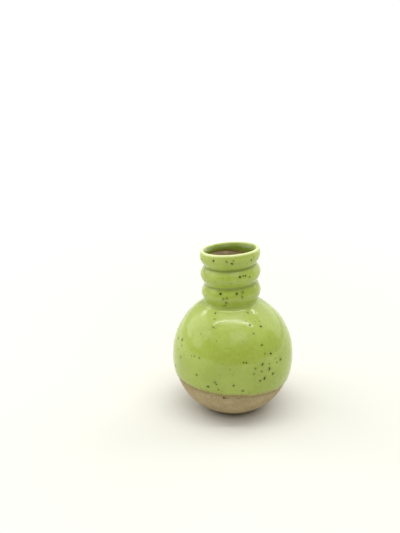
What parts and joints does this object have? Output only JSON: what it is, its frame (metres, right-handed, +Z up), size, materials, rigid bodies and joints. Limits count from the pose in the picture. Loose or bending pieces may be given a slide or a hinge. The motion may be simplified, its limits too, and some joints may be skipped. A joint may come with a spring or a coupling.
{
  "type": "bud vase",
  "caption": "Small round stoneware bud vase with a leaning ringed neck, a speckled green glaze and a bare clay foot.",
  "frame": {"origin": "centre of the foot, on the surface that the vase stands on", "axes": "+Z up through the belly; the neck leans towards -X; -Y is the front"},
  "size_m": [0.0656, 0.0656, 0.0915],
  "materials": {
    "bare_clay": "unglazed buff stoneware, sandy and matte, with fine dark iron grains",
    "green_glaze": "glossy yellow-green glaze with brown-black iron specks, thinner on the crests and pooled in the grooves",
    "iron_speck": "brown-black iron speck melted into the glaze"
  },
  "bodies": {
    "root": {"stoneware_body": "bare_clay", "green_glaze": "green_glaze"}
  },
  "joints": []
}
